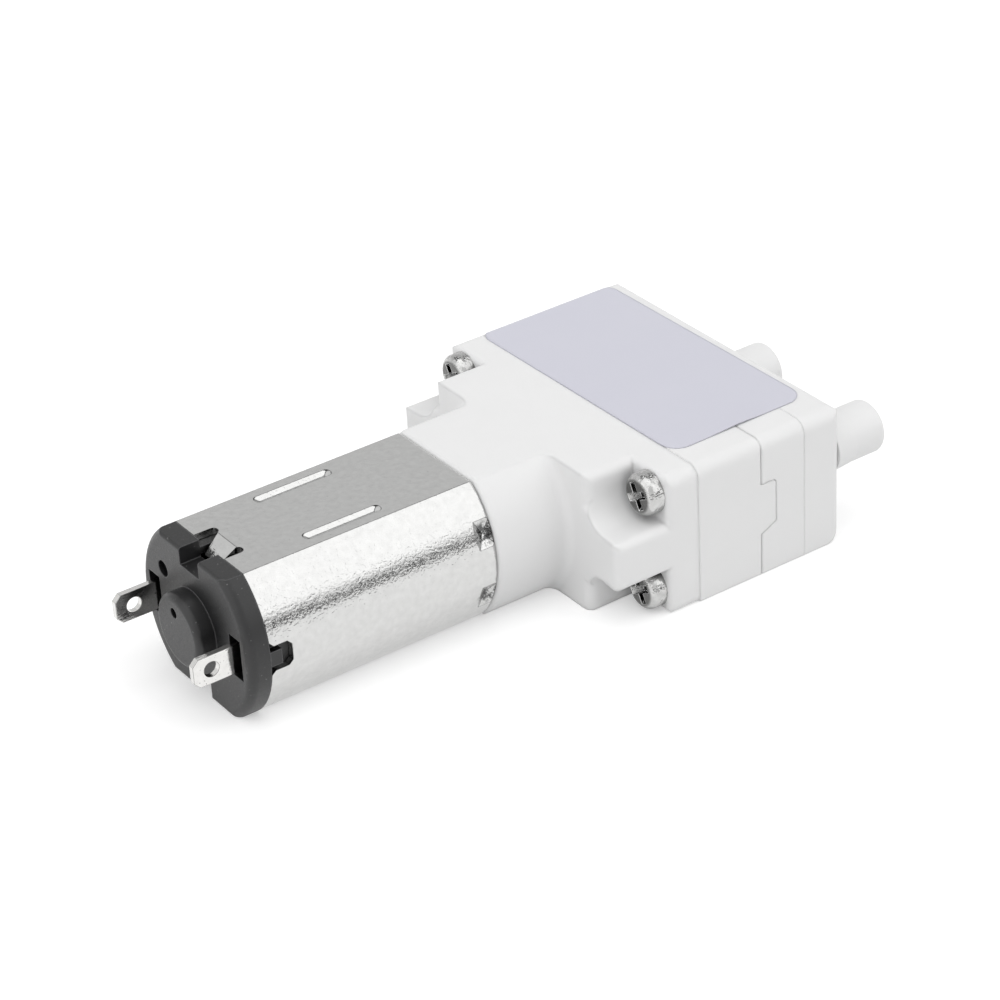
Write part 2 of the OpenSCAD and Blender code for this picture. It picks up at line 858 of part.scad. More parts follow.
module thrust_washers() {
    color([0.9, 0.9, 0.85]) place() {
        for (x = [comm_x - seat_gap - washer_t, front_bearing_x - seat_gap - washer_t]) {
            along_x(x, x + washer_t) difference() {
                circle(washer_r);
                circle(shaft_r + seat_gap);
            }
        }
    }
}

module eccentric_hub() {
    color([0.85, 0.85, 0.8]) place() difference() {
        rod_x(hub_x, x_hub_end, hub_d / 2);
        rod_x(hub_x - over, x_shaft_front + seat_gap, shaft_r + seat_gap);
        at_swing() rod_x(pin_from, 0, pin_r + seat_gap);
    }
}

module drive_pin() {
    color("lightgray") place() at_swing() rod_x(pin_from + seat_gap, pin_to, pin_r);
}

module swing_frame() {
    color([0.93, 0.93, 0.9]) place() at_swing() difference() {
        union() {
            rod_x(sleeve_from, sleeve_to, sleeve_d / 2);
            rod_x(sleeve_to - eps, 0, neck_r);
            sphere(ball_d / 2);
            translate([swing_from, -cup_y, -swing_w / 2]) cube([swing_t, cup_pitch, swing_w]);
            both_sides(cup_y) rod_x(swing_from, swing_to, swing_end_r);
        }
        rod_x(sleeve_from - over, pin_to + stem_gap, pin_r + run_gap);
        both_sides(cup_y) rod_x(swing_from - over, swing_to + over, stem_r + stem_gap);
    }
}

// Cross-section of the side ribs, with a hollow around each case screw
module rib_section() {
    plate(head_w, rib_h, rib_edge_r, rib_low_r);
    difference() {
        square([screw_pitch_y, screw_pitch_z], center = true);
        for (y = [-1, 1], z = [-1, 1]) {
            translate([y * screw_pitch_y / 2, z * screw_pitch_z / 2]) circle(relief_r);
        }
    }
}

// Side ribs that brace the wings of the base plate; their front leans forward from
// the block to the head's sides
module ribs() {
    x_end = x_base + base_t / 2;
    intersection() {
        along_x(x_rib - over, x_end) rib_section();
        mirror([1, 0, 0]) along_y(head_w + over) {
            nosed(-x_end - over, -x_rib, screw_pitch_z / 2 + eps, relief_r);
        }
        mirror([1, 0, 0]) linear_extrude(motor_h, center = true) {
            nosed(-x_end - over, -x_rib, head_w / 2, rib_edge_r);
        }
        linear_extrude(motor_h, center = true) polygon([
            [x_end + over, -head_w / 2 - eps], [x_rib - rib_root, -head_w / 2 - eps],
            [x_block + rib_root, 2 * block_edge_r - block_w / 2],
            [x_block + rib_root, block_w / 2 - 2 * block_edge_r],
            [x_rib - rib_root, head_w / 2 + eps], [x_end + over, head_w / 2 + eps]
        ]);
    }
}

module motor_mount() {
    color("white") place() difference() {
        union() {
            mirror([1, 0, 0]) barrel(-x_block - eps, -can_l, neck_d, motor_h, neck_edge_r, neck_edge_r);
            intersection() {
                lathe_x() difference() {
                    translate([neck_d / 2 - over, x_block - shoulder_r]) {
                        square([shoulder_r + over, shoulder_r + over]);
                    }
                    translate([neck_d / 2 + shoulder_r, x_block - shoulder_r]) circle(shoulder_r);
                }
                along_x(can_l, x_block + over) plate(block_w, motor_h, block_edge_r, low_edge_r);
            }
            intersection() {
                along_x(x_block, x_base + over) plate(block_w, motor_h, block_edge_r, low_edge_r);
                mirror([1, 0, 0]) linear_extrude(motor_h + over, center = true) {
                    nosed(-x_base - over, -x_block, block_w / 2, block_edge_r);
                }
            }
            ribs();
            layer(x_base, x_mid, plate_low_r, front_r, seam_r);
        }
        rod_x(can_l - over, x_web + over, nose_d / 2 + seat_gap);
        both_sides(motor_screw_pitch / 2) rod_x(can_l - over, x_web + over, motor_screw_d / 2 + screw_gap);
        along_x(x_web, x_block + chamber_wall + eps) {
            flatted(neck_d - 2 * chamber_wall, chamber_h);
        }
        along_x(x_block + chamber_wall, x_mid + over) rounded(chamber_w, chamber_h, inner_edge_r);
        along_x(x_base - pocket_in, x_mid + over) {
            rounded(cup_pitch + swing_w + 2 * swing_room, chamber_h, inner_edge_r);
        }
        at_case_screws() rod_x(x_base - over, x_mid + over, screw_d / 2 + screw_gap);
    }
}

module motor_screws() {
    color("silver") place() both_sides(motor_screw_pitch / 2) {
        rod_x(x_web - web_t - motor_screw_bite, x_web + eps, motor_screw_d / 2);
        difference() {
            rod_x(x_web, x_web + motor_head_h, motor_head_r);
            for (a = [0, 90]) rotate([a, 0, 0]) {
                translate([x_web + motor_head_h / 2, -motor_cross_l / 2, -motor_cross_w / 2]) {
                    cube([over, motor_cross_l, motor_cross_w]);
                }
            }
        }
    }
}

// Outline in X and Z of the key on the side of the diaphragm block
module key_outline(c) {
    half = key_h / 2;
    polygon([
        [x_valve - over, half + c], [x_valve + key_l - key_tip, half + c],
        [x_valve + key_l + c, half - key_tip], [x_valve + key_l + c, key_drop - half - c],
        [x_valve, -half - key_tip - c], [x_valve - over, -half - key_tip - c]
    ]);
}

module keys(c) {
    both_sides(head_w / 2 - key_t / 2) along_y(key_t + 2 * c) key_outline(c);
}

module diaphragm_block() {
    color("white") place() difference() {
        union() {
            layer(x_mid, x_valve, low_edge_r, seam_r, block_back_r);
            keys(0);
        }
        both_sides(cup_y) rod_x(x_mid - over, x_valve + over, bore_d / 2);
        along_x(x_sheet, x_valve + over) {
            stadium(cup_pitch + 2 * (sheet_r + sheet_gap), 2 * (sheet_r + sheet_gap));
        }
        rod_x(x_mid - over, x_centre, ball_d / 2 + 2 * run_gap);
        translate([x_centre, 0, 0]) sphere(ball_d / 2 + 2 * run_gap);
        at_case_screws() rod_x(x_mid - over, x_valve + over, screw_d / 2 + screw_gap);
    }
}

module twin_diaphragm() {
    r1 = cup_d / 2;
    color([0.2, 0.2, 0.21]) place() {
        difference() {
            along_x(x_sheet, x_valve) stadium(cup_pitch + 2 * sheet_r, 2 * sheet_r);
            both_sides(cup_y) rod_x(x_sheet - over, x_valve + over, r1 + cup_wall / 2);
        }
        both_sides(cup_y) lathe_x() polygon([
            [0, cup_floor], [cup_floor_r, cup_floor], [cup_floor_r + cup_flare, cup_floor + cup_floor_t],
            [r1 + cup_wall, x_sheet], [r1 + cup_wall, x_valve], [r1, x_valve],
            [cup_floor_r - cup_step, cup_floor + cup_floor_t], [0, cup_floor + cup_floor_t]
        ]);
        at_swing() both_sides(cup_y) {
            rod_x(swing_from - stem_gap - eps, cup_floor - x_centre + stem_in, stem_r);
            rod_x(swing_from - stem_gap - bulb_l, swing_from - stem_gap, bulb_r);
        }
    }
}

module valve_plate() {
    color("white") place() difference() {
        layer(x_valve, x_cover, low_edge_r, fine_seam_r, fine_seam_r);
        keys(key_gap);
        along_x(x_gasket, x_cover + over) gasket_outline(seat_gap);
        both_sides(outlet_y) {
            rod_x(x_valve - over, x_cover, seat_hole_d / 2);
            rod_x(x_outlet_seat, x_cover, pocket_r);
        }
        both_sides(inlet_y) {
            rod_x(x_valve - over, x_cover, seat_hole_d / 2);
            rod_x(x_valve + lug_t, x_inlet_seat, pocket_r);
            rod_x(x_valve - over, x_valve + lug_t + eps, pocket_r - lug_reach);
            for (a = [0, 90]) rotate([a, 0, 0]) {
                translate([x_valve - over, -pocket_r, -lug_slot / 2]) {
                    cube([over + lug_t + eps, 2 * pocket_r, lug_slot]);
                }
            }
        }
        at_case_screws() rod_x(x_valve - over, x_cover + over, screw_d / 2 + screw_gap);
    }
}

module inlet_valve(side) {
    x = x_inlet_seat - seat_gap - disc_t;
    translate([0, side * inlet_y, 0]) rod_x(x, x + disc_t, disc_d / 2);
}

module outlet_valve(side) {
    x = x_outlet_seat + seat_gap;
    translate([0, side * outlet_y, 0]) rod_x(x, x + disc_t, disc_d / 2);
}

module inlet_valve_left() {
    color([0.75, 0.3, 0.2]) place() inlet_valve(1);
}

module inlet_valve_right() {
    color([0.75, 0.3, 0.2]) place() inlet_valve(-1);
}

module outlet_valve_left() {
    color([0.75, 0.3, 0.2]) place() outlet_valve(1);
}

module outlet_valve_right() {
    color([0.75, 0.3, 0.2]) place() outlet_valve(-1);
}

// Air ways in Y and Z: the outlet space in the middle, and the inlet space around it
module outlet_space() {
    translate([-outlet_half_y, outlet_z0]) square([2 * outlet_half_y, outlet_z1 - outlet_z0]);
}

module inlet_space() {
    for (s = [0, 1]) mirror([s, 0]) {
        translate([inlet_y0, channel_z0]) square([inlet_y1 - inlet_y0, inlet_z - channel_z0]);
    }
    translate([-inlet_y1, channel_z0]) square([2 * inlet_y1, channel_z1 - channel_z0]);
    translate([port_reach, 0]) square([-port_reach - inlet_y0, port_z + port_bore_d / 2 + way_gap]);
}

module gasket_outline(c) {
    rounded(head_w - 2 * gasket_inset + 2 * c, motor_h - 2 * gasket_inset + 2 * c, edge_r);
}

module cover_gasket() {
    color([0.3, 0.3, 0.3]) place() difference() {
        along_x(x_gasket, x_cover) difference() {
            gasket_outline(0);
            outlet_space();
            inlet_space();
        }
        at_case_screws() rod_x(x_gasket - over, x_cover + over, screw_d / 2 + screw_gap);
    }
}

module nozzle() {
    grip = port_l * port_taper;
    translate([x_back, 0, 0]) rotate([0, 90, 0]) {
        translate([0, 0, -eps]) cylinder(h = grip + eps, d1 = port_root_d, d2 = port_d);
    }
    lathe_x() nose_profile(x_back + grip - eps, x_port, port_d / 2, port_tip_r);
}

// Outline in X and Z that rounds the lower back edge of the cover
module low_back() {
    low = -motor_h / 2;
    translate([x_cover - over, low + back_low_r]) square([cover_t + over, motor_h]);
    translate([x_cover - over, low]) square([cover_t + over - back_low_r, motor_h]);
    translate([x_back - back_low_r, low + back_low_r]) circle(back_low_r);
}

module port_cover() {
    color("white") place() {
        difference() {
            union() {
                intersection() {
                    layer(x_cover, x_back, low_edge_r, fine_seam_r, back_r);
                    along_y(head_w + over) low_back();
                }
                for (y = [port_y, side_port_y]) translate([0, y, port_z]) nozzle();
            }
            along_x(x_cover - over, plenum_top) {
                outlet_space();
                inlet_space();
            }
            for (y = [port_y, side_port_y]) {
                translate([0, y, port_z]) rod_x(plenum_top - over, x_port + over, port_bore_d / 2);
            }
            at_case_screws() rod_x(x_cover - over, x_cover + screw_bite + screw_tip, screw_d / 2 + seat_gap);
        }
        both_sides(outlet_y) rod_x(x_peg, plenum_top + eps, peg_r);
    }
}

// One arm of the cross recess in a case screw, narrowing towards its floor
module cross_arm() {
    face = x_base - screw_head_h;
    linear_extrude(cross_w, center = true) polygon([
        [face - over, -cross_l / 2], [face, -cross_l / 2], [face + cross_depth, -cross_floor_l / 2],
        [face + cross_depth, cross_floor_l / 2], [face, cross_l / 2], [face - over, cross_l / 2]
    ]);
}

// One Phillips pan-head case screw, its head towards the motor
module case_screw() {
    rod_x(x_base - eps, x_cover + screw_bite, screw_d / 2);
    difference() {
        mirror([1, 0, 0]) lathe_x() {
            nose_profile(-x_base, screw_head_h - x_base, screw_head_d / 2, head_edge_r);
        }
        for (a = [0, 90]) rotate([cross_turn + a, 0, 0]) cross_arm();
    }
}

module case_screws() {
    color("silver") place() at_case_screws() case_screw();
}

module label() {
    color([0.82, 0.82, 0.88]) place() {
        translate([label_x, label_y, top_z]) rotate([0, 0, label_turn]) {
            linear_extrude(label_t) rounded(label_w, label_l, label_r);
        }
    }
}

motor_can();
motor_end_cap();
terminal_left();
terminal_right();
brush_left();
brush_right();
magnet_left();
magnet_right();
front_bearing();
rear_bearing();
motor_shaft();
armature_core();
armature_windings();
commutator_core();
commutator_segments();
thrust_washers();
eccentric_hub();
drive_pin();
swing_frame();
motor_mount();
motor_screws();
diaphragm_block();
twin_diaphragm();
valve_plate();
inlet_valve_left();
inlet_valve_right();
outlet_valve_left();
outlet_valve_right();
cover_gasket();
port_cover();
case_screws();
label();
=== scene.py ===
import math
import bpy
import numpy as np
from mathutils import Matrix, Vector


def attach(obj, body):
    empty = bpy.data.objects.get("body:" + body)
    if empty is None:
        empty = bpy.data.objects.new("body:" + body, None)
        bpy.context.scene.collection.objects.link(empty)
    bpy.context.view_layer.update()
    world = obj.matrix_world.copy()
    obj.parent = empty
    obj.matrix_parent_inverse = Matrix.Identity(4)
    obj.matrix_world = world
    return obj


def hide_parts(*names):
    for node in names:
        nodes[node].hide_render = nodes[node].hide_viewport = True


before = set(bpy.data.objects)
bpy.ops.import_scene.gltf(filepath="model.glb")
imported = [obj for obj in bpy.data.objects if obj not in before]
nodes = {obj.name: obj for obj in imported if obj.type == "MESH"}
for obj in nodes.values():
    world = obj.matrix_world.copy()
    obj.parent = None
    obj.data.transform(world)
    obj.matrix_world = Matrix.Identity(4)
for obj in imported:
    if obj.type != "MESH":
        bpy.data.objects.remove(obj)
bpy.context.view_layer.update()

# Micro vacuum pump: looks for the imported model. Lengths are metres, in the model's own frame,
# with the motor axis along X, the nozzles at +X and the head's underside on z = 0.
mm = 0.001
print("frame loaded:", len(nodes), "nodes")


def linear(code, alpha=1.0):
    # an sRGB hex colour turned to linear light
    values = [int(code[i:i + 2], 16) / 255 for i in (0, 2, 4)]
    return tuple(v / 12.92 if v <= 0.04045 else ((v + 0.055) / 1.055) ** 2.4 for v in values) + (alpha,)


def add(tree, kind, settings=None, links=None):
    # adds a node; settings fill its sockets or its properties, links join sockets to its inputs
    made = tree.nodes.new(kind)
    for key, value in (settings or {}).items():
        if isinstance(key, str) and hasattr(made, key):
            setattr(made, key, value)
        else:
            made.inputs[key].default_value = value
    for key, source in (links or {}).items():
        tree.links.new(source, made.inputs[key])
    return made


def emptyTree(owner):
    owner.use_nodes = True
    owner.node_tree.nodes.clear()
    return owner.node_tree


# the camera stands at the photograph's viewing angle
camera = {
    "place": (-120.411, -181.355, 137.999),  # mm
    "azimuth": -33.981,
    "elevation": 31.124,
    "roll": -3.248,
    "lens": 117.6,
    "sensor": 36,
    "clip": (0.01, 20),
}


def makeCamera(look):
    turn, rise, roll = (math.radians(look[k]) for k in ("azimuth", "elevation", "roll"))
    back = Vector((math.sin(turn) * math.cos(rise), -math.cos(turn) * math.cos(rise), math.sin(rise)))
    right = Vector((0, 0, 1)).cross(back).normalized()
    up = back.cross(right)
    side = right * math.cos(roll) + up * math.sin(roll)
    top = up * math.cos(roll) - right * math.sin(roll)
    data = bpy.data.cameras.new("photoCamera")
    data.lens = look["lens"]
    data.sensor_width = look["sensor"]
    data.clip_start, data.clip_end = look["clip"]
    made = bpy.data.objects.new("photoCamera", data)
    bpy.context.scene.collection.objects.link(made)
    turned = Matrix((side, top, back)).transposed().to_4x4()
    made.matrix_world = Matrix.Translation(Vector(look["place"]) * mm) @ turned
    bpy.context.scene.camera = made


makeCamera(camera)
bpy.context.scene.view_settings.view_transform = "Standard"
print("camera placed")


# white world and floor, with soft cards that only the light and the gloss see
studio = {
    "fill": 0.50,  # strength of the world for matt surfaces
    "floorHalf": 3.0,
    "floorColour": "E5E5E5",
    "floorGlow": 0.34,  # lifts the floor to white and keeps its shadow
    "cardRadius": 1.5,
    "cardGrid": (49, 17),
}

# azimuth from +X towards +Y and elevation, in degrees, and how bright the card is
cards = {
    "backCard": {"azimuth": (5, 100), "elevation": (9, 52), "light": 0.74},
    "clawCard": {"azimuth": (107, 140), "elevation": (9, 52), "light": 0.86},
    "gapCard": {"azimuth": (5, 150), "elevation": (52, 63), "light": 0.05},
    "topBox": {"azimuth": (-180, 180), "elevation": (63, 90), "light": 1.62},
    "frontBox": {"azimuth": (-74, -22), "elevation": (14, 63), "light": 1.55},
    "cornerBox": {"azimuth": (-22, 5), "elevation": (14, 63), "light": 1.0},
    "sideBox": {"azimuth": (-150, -74), "elevation": (14, 63), "light": 1.0},
    "rearBox": {"azimuth": (150, 210), "elevation": (9, 63), "light": 1.5},
    "horizonCard": {"azimuth": (-150, 5), "elevation": (0, 7), "light": 0.12},
}


def makeCard(name, look, radius, grid):
    # a patch of a sphere: azimuth and elevation run evenly over a grid
    across, along = grid
    turn = np.radians(np.linspace(*look["azimuth"], across))
    rise = np.radians(np.linspace(*look["elevation"], along))
    u, v = np.meshgrid(turn, rise)
    points = radius * np.stack([np.cos(v) * np.cos(u), np.cos(v) * np.sin(u), np.sin(v)], -1)
    first = (np.arange(along - 1)[:, None] * across + np.arange(across - 1)).ravel()
    faces = np.stack([first, first + across, first + across + 1, first + 1], 1)
    mesh = bpy.data.meshes.new(name)
    mesh.from_pydata(points.reshape(-1, 3).tolist(), [], faces.tolist())
    made = bpy.data.objects.new(name, mesh)
    bpy.context.scene.collection.objects.link(made)
    glow = bpy.data.materials.new(name)
    tree = emptyTree(glow)
    light = add(tree, "ShaderNodeEmission", {"Strength": look["light"]})
    add(tree, "ShaderNodeOutputMaterial", links={"Surface": light.outputs[0]})
    mesh.materials.append(glow)
    made.visible_camera = False
    made.visible_shadow = False


for name, look in cards.items():
    makeCard(name, look, studio["cardRadius"], studio["cardGrid"])


def seenDirectly(tree):
    # one for rays from the camera, off gloss and through glass, nothing for matt light
    path = add(tree, "ShaderNodeLightPath")
    both = add(tree, "ShaderNodeMath", {"operation": "MAXIMUM"},
               {0: path.outputs["Is Camera Ray"], 1: path.outputs["Is Glossy Ray"]})
    return add(tree, "ShaderNodeMath", {"operation": "MAXIMUM"},
               {0: both.outputs[0], 1: path.outputs["Is Transmission Ray"]}).outputs[0]


def makeWorld(look):
    world = bpy.data.worlds.new("whiteStudio")
    bpy.context.scene.world = world
    tree = emptyTree(world)
    strength = add(tree, "ShaderNodeMapRange", {"To Min": look["fill"], "To Max": 1.0},
                   {"Value": seenDirectly(tree)})
    sky = add(tree, "ShaderNodeBackground", {"Color": (1, 1, 1, 1)}, {"Strength": strength.outputs[0]})
    add(tree, "ShaderNodeOutputWorld", links={"Surface": sky.outputs[0]})


def makeFloor(look):
    half = look["floorHalf"]
    mesh = bpy.data.meshes.new("floor")
    corners = [(-half, -half, 0), (half, -half, 0), (half, half, 0), (-half, half, 0)]
    mesh.from_pydata(corners, [], [(0, 1, 2, 3)])
    made = bpy.data.objects.new("floor", mesh)
    bpy.context.scene.collection.objects.link(made)
    white = bpy.data.materials.new("whitePaper")
    tree = emptyTree(white)
    matt = add(tree, "ShaderNodeBsdfDiffuse", {"Color": linear(look["floorColour"])})
    strength = add(tree, "ShaderNodeMath", {"operation": "MULTIPLY", 1: look["floorGlow"]},
                   {0: seenDirectly(tree)})
    glow = add(tree, "ShaderNodeEmission", links={"Strength": strength.outputs[0]})
    both = add(tree, "ShaderNodeAddShader", links={0: matt.outputs[0], 1: glow.outputs[0]})
    add(tree, "ShaderNodeOutputMaterial", links={"Surface": both.outputs[0]})
    mesh.materials.append(white)


makeWorld(studio)
makeFloor(studio)
print("studio built")


# where each pattern starts and is full, on a noise, an openness or the likeness of two directions;
# the plain values under them stand where a finish doesn't give its own
spans = {
    "rough": {"From Min": 0.3, "From Max": 0.7},
    # painted shade at the stake dents is broken up over this span
    "dentBreakup": {"From Min": 0.42, "From Max": 0.56},
    # painted darker reflection on faces turned towards -X starts and is full over this span
    "driven": {"From Min": 0.86, "From Max": 0.985},
    # painted shade in recesses starts and is full over this span of openness
    "recessShade": {"From Min": 0.25, "From Max": 0.8},
    "pits": {"From Min": 0.38, "From Max": 0.5},
}
dentShadeCore = 0.55  # share of the painted dent shade's reach that is fully shaded
speckRim = 0.04
# painted edge light and shade starts and is full between these likenesses of the rounded and the face
# normals
paintedEdgeFrom = 0.999
paintedEdgeTo = 0.90
lineScale = 0.314  # a wave's scale for one line per unit of length
heightShare = 0.5  # depth of the grain as a share of its width
plainEdge = 0.05
plainRays = 4
openRays = 8


def lined(tree, place, height, look):
    # even lines across an axis: a sine wave over the distance, for laminations and windings
    wave = add(tree, "ShaderNodeTexWave",
               {"wave_type": "BANDS", "bands_direction": look["linesAlong"],
                "Scale": lineScale / (look["lines"] * mm)},
               {"Vector": place})
    return add(tree, "ShaderNodeMath", {"operation": "MULTIPLY_ADD", 1: look["linesDepth"]},
               {0: wave.outputs["Fac"], 2: height}).outputs[0]


def paintDentShade(tree, place, colour, dentShading):
    # painted shade at the stake dents: the same place on all four sides of the motor axis, broken up by
    # coarse grain
    centre = add(tree, "ShaderNodeVectorMath",
                 {"operation": "SUBTRACT", 1: (0, 0, dentShading["axisHeight"] * mm)}, {0: place})
    folded = add(tree, "ShaderNodeVectorMath", {"operation": "ABSOLUTE"}, {0: centre.outputs[0]})
    away = add(tree, "ShaderNodeVectorMath",
               {"operation": "DISTANCE", 1: tuple(v * mm for v in dentShading["at"])}, {0: folded.outputs[0]})
    near = add(tree, "ShaderNodeMapRange",
               {"From Min": dentShading["reach"] * mm, "From Max": dentShading["reach"] * mm * dentShadeCore},
               {"Value": away.outputs["Value"]})
    dentNoise = add(tree, "ShaderNodeTexNoise",
                {"Scale": 1 / (dentShading["grain"] * mm), "Detail": 3.0, "Roughness": 0.7}, {"Vector": place})
    broken = add(tree, "ShaderNodeMapRange", spans["dentBreakup"], {"Value": dentNoise.outputs["Fac"]})
    patch = add(tree, "ShaderNodeMath", {"operation": "MULTIPLY"},
                {0: near.outputs[0], 1: broken.outputs[0]})
    return add(tree, "ShaderNodeMix", {"data_type": "RGBA", 7: linear(dentShading["colour"])},
               {0: patch.outputs[0], 6: colour}).outputs[2]


def specked(tree, place, colour, specks):
    # sparse dust or chips: only the highest peaks of a fine noise
    dust = add(tree, "ShaderNodeTexNoise", {"Scale": 1 / (specks["grain"] * mm), "Detail": 2.0},
               {"Vector": place})
    peaks = add(tree, "ShaderNodeMapRange",
                {"From Min": specks["above"], "From Max": specks["above"] + speckRim},
                {"Value": dust.outputs["Fac"]})
    return add(tree, "ShaderNodeMix", {"data_type": "RGBA", 7: linear(specks["colour"])},
               {0: peaks.outputs[0], 6: colour}).outputs[2]


def driven(tree, colour, look):
    # painted darker reflection: the face that looks along the screw, towards -X, is darker
    turned = add(tree, "ShaderNodeNewGeometry")
    along = add(tree, "ShaderNodeVectorMath", {"operation": "DOT_PRODUCT", 1: look["drivenAxis"]},
                {0: turned.outputs["Normal"]})
    flat = add(tree, "ShaderNodeMapRange", spans["driven"], {"Value": along.outputs["Value"]})
    return add(tree, "ShaderNodeMix", {"data_type": "RGBA", 7: linear(look["driven"])},
               {0: flat.outputs[0], 6: colour}).outputs[2]


def paintRecessShade(tree, colour, look):
    # painted shade: recesses are darker by as much as the surfaces around them close them in
    openness = add(tree, "ShaderNodeAmbientOcclusion",
                   {"samples": openRays, "Distance": look["recessShadeDepth"] * mm})
    deep = add(tree, "ShaderNodeMapRange", spans["recessShade"], {"Value": openness.outputs["AO"]})
    return add(tree, "ShaderNodeMix", {"data_type": "RGBA", 6: linear(look["recessShade"])},
               {0: deep.outputs[0], 7: colour}).outputs[2]


def pitted(tree, place, normal, pits):
    # a sandy scatter of small pits: the low side of a fine noise, cut off sharply
    sand = add(tree, "ShaderNodeTexNoise", {"Scale": 1 / (pits["grain"] * mm), "Detail": 1.0},
               {"Vector": place})
    hollow = add(tree, "ShaderNodeMapRange", spans["pits"], {"Value": sand.outputs["Fac"]})
    return add(tree, "ShaderNodeBump", {"Strength": pits["strength"], "Distance": pits["depth"] * mm},
               {"Height": hollow.outputs[0], "Normal": normal}).outputs[0]


def paintEdges(tree, colour, normal, look):
    # painted light and shade at the edges: another tone where the rounded normal leaves the face's own
    # normal, a painted highlight where it is lighter and a painted dark line where it is darker
    face = add(tree, "ShaderNodeNewGeometry")
    same = add(tree, "ShaderNodeVectorMath", {"operation": "DOT_PRODUCT"},
               {0: normal, 1: face.outputs["Normal"]})
    edge = add(tree, "ShaderNodeMapRange", {"From Min": paintedEdgeFrom, "From Max": look.get("paintedEdgeAt", paintedEdgeTo)},
               {"Value": same.outputs["Value"]})
    return add(tree, "ShaderNodeMix", {"data_type": "RGBA", 7: linear(look["paintedEdge"])},
               {0: edge.outputs[0], 6: colour}).outputs[2]


def finish(name, look):
    # one procedural finish: two tones in soft clouds, a fine grain that moves the roughness and the
    # height, and edges rounded by a small radius; every size in a finish is in millimetres
    made = bpy.data.materials.new(name)
    tree = emptyTree(made)
    place = add(tree, "ShaderNodeTexCoord").outputs["Object"]
    spread = add(tree, "ShaderNodeMapping", {"Scale": look.get("stretch", (1, 1, 1))}, {"Vector": place})
    cloud = add(tree, "ShaderNodeTexNoise", {"Scale": 1 / (look["cloud"] * mm), "Detail": 3.0},
                {"Vector": place})
    colour = add(tree, "ShaderNodeMix",
                 {"data_type": "RGBA", 6: linear(look["colour"]), 7: linear(look["shade"])},
                 {0: cloud.outputs["Fac"]}).outputs[2]
    grain = add(tree, "ShaderNodeTexNoise",
                {"Scale": 1 / (look["grain"] * mm), "Detail": 2.0, "Roughness": 0.6},
                {"Vector": spread.outputs[0]})
    height = grain.outputs["Fac"]
    low, high = look["rough"]
    rough = add(tree, "ShaderNodeMapRange", {**spans["rough"], "To Min": low, "To Max": high},
                {"Value": height})
    if "lines" in look:
        height = lined(tree, place, height, look)
    # painted shade at the stake dents
    if "dentShading" in look:
        colour = paintDentShade(tree, place, colour, look["dentShading"])
    if "specks" in look:
        colour = specked(tree, place, colour, look["specks"])
    # painted darker reflection on faces turned towards -X
    if "driven" in look:
        colour = driven(tree, colour, look)
    # painted shade in recesses, near black
    if "recessShade" in look:
        colour = paintRecessShade(tree, colour, look)
    soft = add(tree, "ShaderNodeBevel", {"samples": look.get("bevelRays", plainRays),
                                         "Radius": look.get("edge", plainEdge) * mm}).outputs[0]
    normal = add(tree, "ShaderNodeBump",
                 {"Strength": look["bump"], "Distance": look["grain"] * mm * heightShare},
                 {"Height": height, "Normal": soft}).outputs[0]
    if "pits" in look:
        normal = pitted(tree, place, normal, look["pits"])
    # painted edge tone on rounded edges: a painted highlight where lighter, a painted dark line where
    # darker
    if "paintedEdge" in look:
        colour = paintEdges(tree, colour, soft, look)
    shader = add(tree, "ShaderNodeBsdfPrincipled", {"Metallic": look.get("metal", 0.0)},
                 {"Base Color": colour, "Roughness": rough.outputs[0], "Normal": normal})
    if not look.get("metal"):
        shader.inputs["IOR"].default_value = look.get("ior", 1.5)
    add(tree, "ShaderNodeOutputMaterial", links={"Surface": shader.outputs[0]})
    return made


